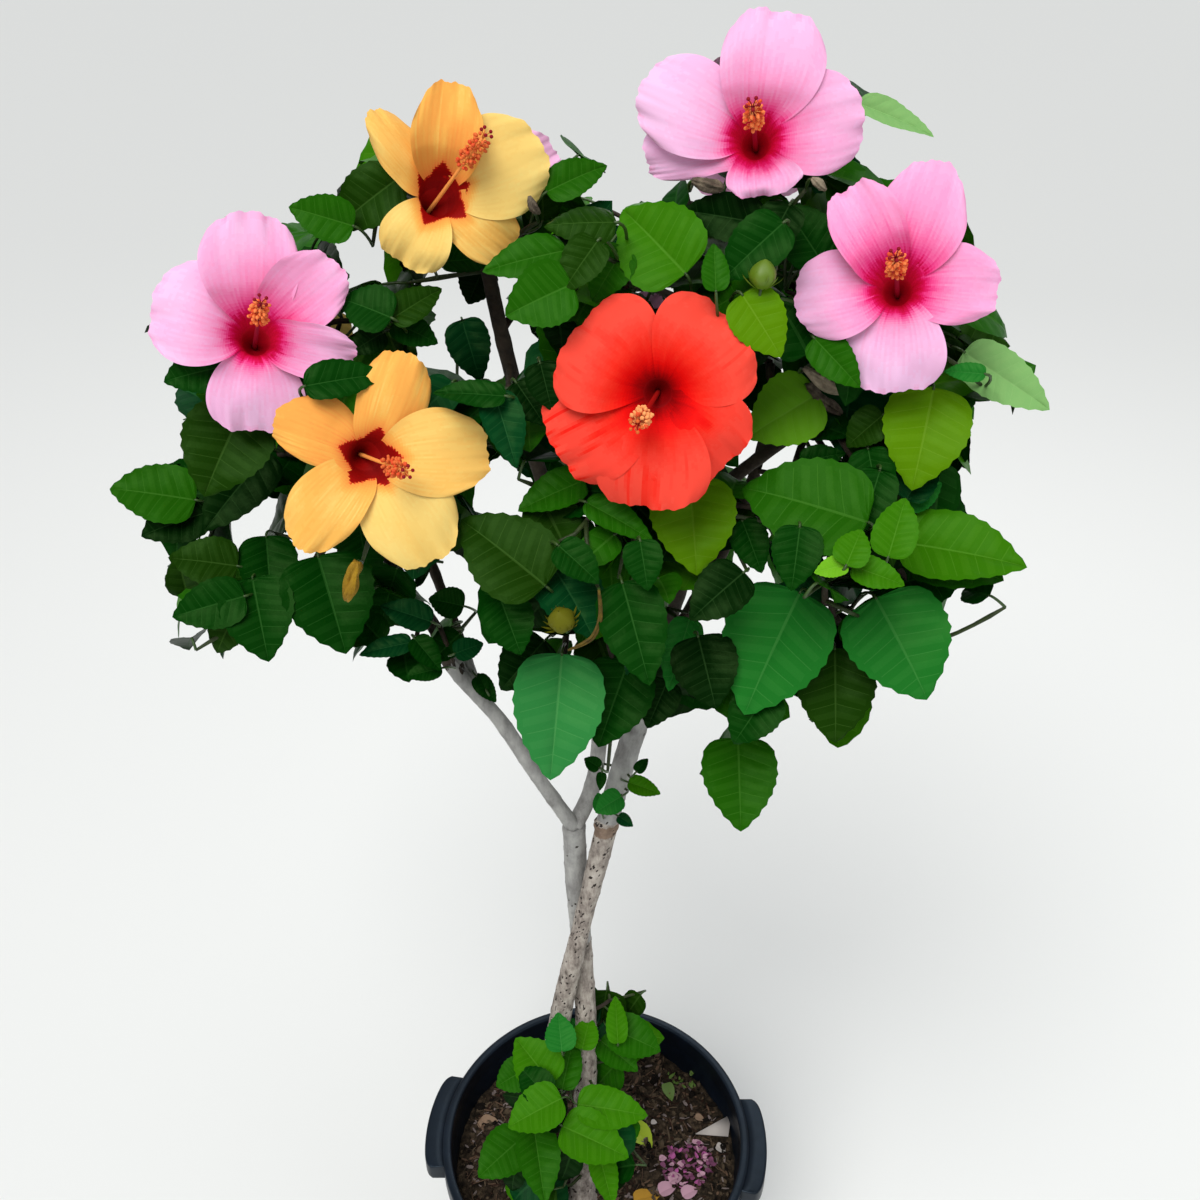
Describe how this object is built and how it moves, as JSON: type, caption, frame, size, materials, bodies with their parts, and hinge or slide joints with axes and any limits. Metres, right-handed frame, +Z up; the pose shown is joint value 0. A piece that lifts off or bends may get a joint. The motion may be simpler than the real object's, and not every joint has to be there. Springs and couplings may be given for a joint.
{
  "type": "potted hibiscus shrub",
  "caption": "Flowering hibiscus shrub with a round open crown of broad leaves and large pink, yellow and red blooms on crossed stems, growing in a round pot with grip lugs.",
  "frame": {"origin": "centre of the pot's flat underside", "axes": "+Z up the plant, +X to the right seen from the front, -Y towards the front, where the red bloom faces"},
  "size_m": [0.5843, 0.4063, 1.2342],
  "materials": {
    "pot": "satin charcoal moulded plastic with a bluish sheen",
    "soil": "rough dark brown compost with bark and litter",
    "bark": "matt grey-beige bark with dark pores, smoother higher up",
    "leaves": "satin green leaves with paler veins",
    "petals_pink": "soft pink petals with a crimson throat",
    "petals_yellow": "soft orange-yellow petals with a dark red throat",
    "petals_red": "soft orange-red petals with a maroon throat"
  },
  "bodies": {
    "root": {"pot": "pot", "soil": "soil", "stem_left": "bark", "stem_right": "bark", "bough_back": "bark", "bough_back_right": "bark", "bough_centre": "bark", "bough_inner": "bark", "bough_left": "bark", "bough_left_back": "bark", "bough_left_upper": "bark", "bough_right": "bark", "bough_right_low": "bark", "bough_top": "bark", "foliage_back_centre": "leaves", "foliage_back_centre_left": "leaves", "foliage_back_left": "leaves", "foliage_back_left_low": "leaves", "foliage_back_left_upper": "leaves", "foliage_back_low": "leaves", "foliage_back_right": "leaves", "foliage_back_right_bottom": "leaves", "foliage_back_right_low": "leaves", "foliage_back_top": "leaves", "foliage_back_top_left": "leaves", "foliage_back_top_right": "leaves", "foliage_back_upper_right": "leaves", "foliage_bottom_leaf": "leaves", "foliage_bottom_low": "leaves", "foliage_bottom_middle": "leaves", "foliage_bottom_middle_left": "leaves", "foliage_bottom_right_leaf": "leaves", "foliage_bottom_right_middle": "leaves", "foliage_centre_flower": "petals_red", "foliage_centre_left": "leaves", "foliage_foot_shoots_front": "leaves", "foliage_foot_shoots_right": "leaves", "foliage_left_bottom": "leaves", "foliage_left_bough_end": "leaves", "foliage_left_flower": "petals_pink", "foliage_left_inner": "leaves", "foliage_left_lower": "leaves", "foliage_left_tip": "leaves", "foliage_low_left_flower": "petals_yellow", "foliage_right_bottom": "leaves", "foliage_right_bottom_tip": "leaves", "foliage_right_lower": "leaves", "foliage_right_lower_tip": "leaves", "foliage_right_middle": "leaves", "foliage_right_tip": "leaves", "foliage_top_flower": "petals_pink", "foliage_top_left": "leaves", "foliage_top_middle": "leaves", "foliage_top_right_middle": "leaves", "foliage_top_right_tip": "leaves", "foliage_upper_left_flower": "petals_yellow", "foliage_upper_left_inner": "leaves", "foliage_upper_left_tip": "leaves", "foliage_upper_right_flower": "petals_pink"}
  },
  "joints": []
}
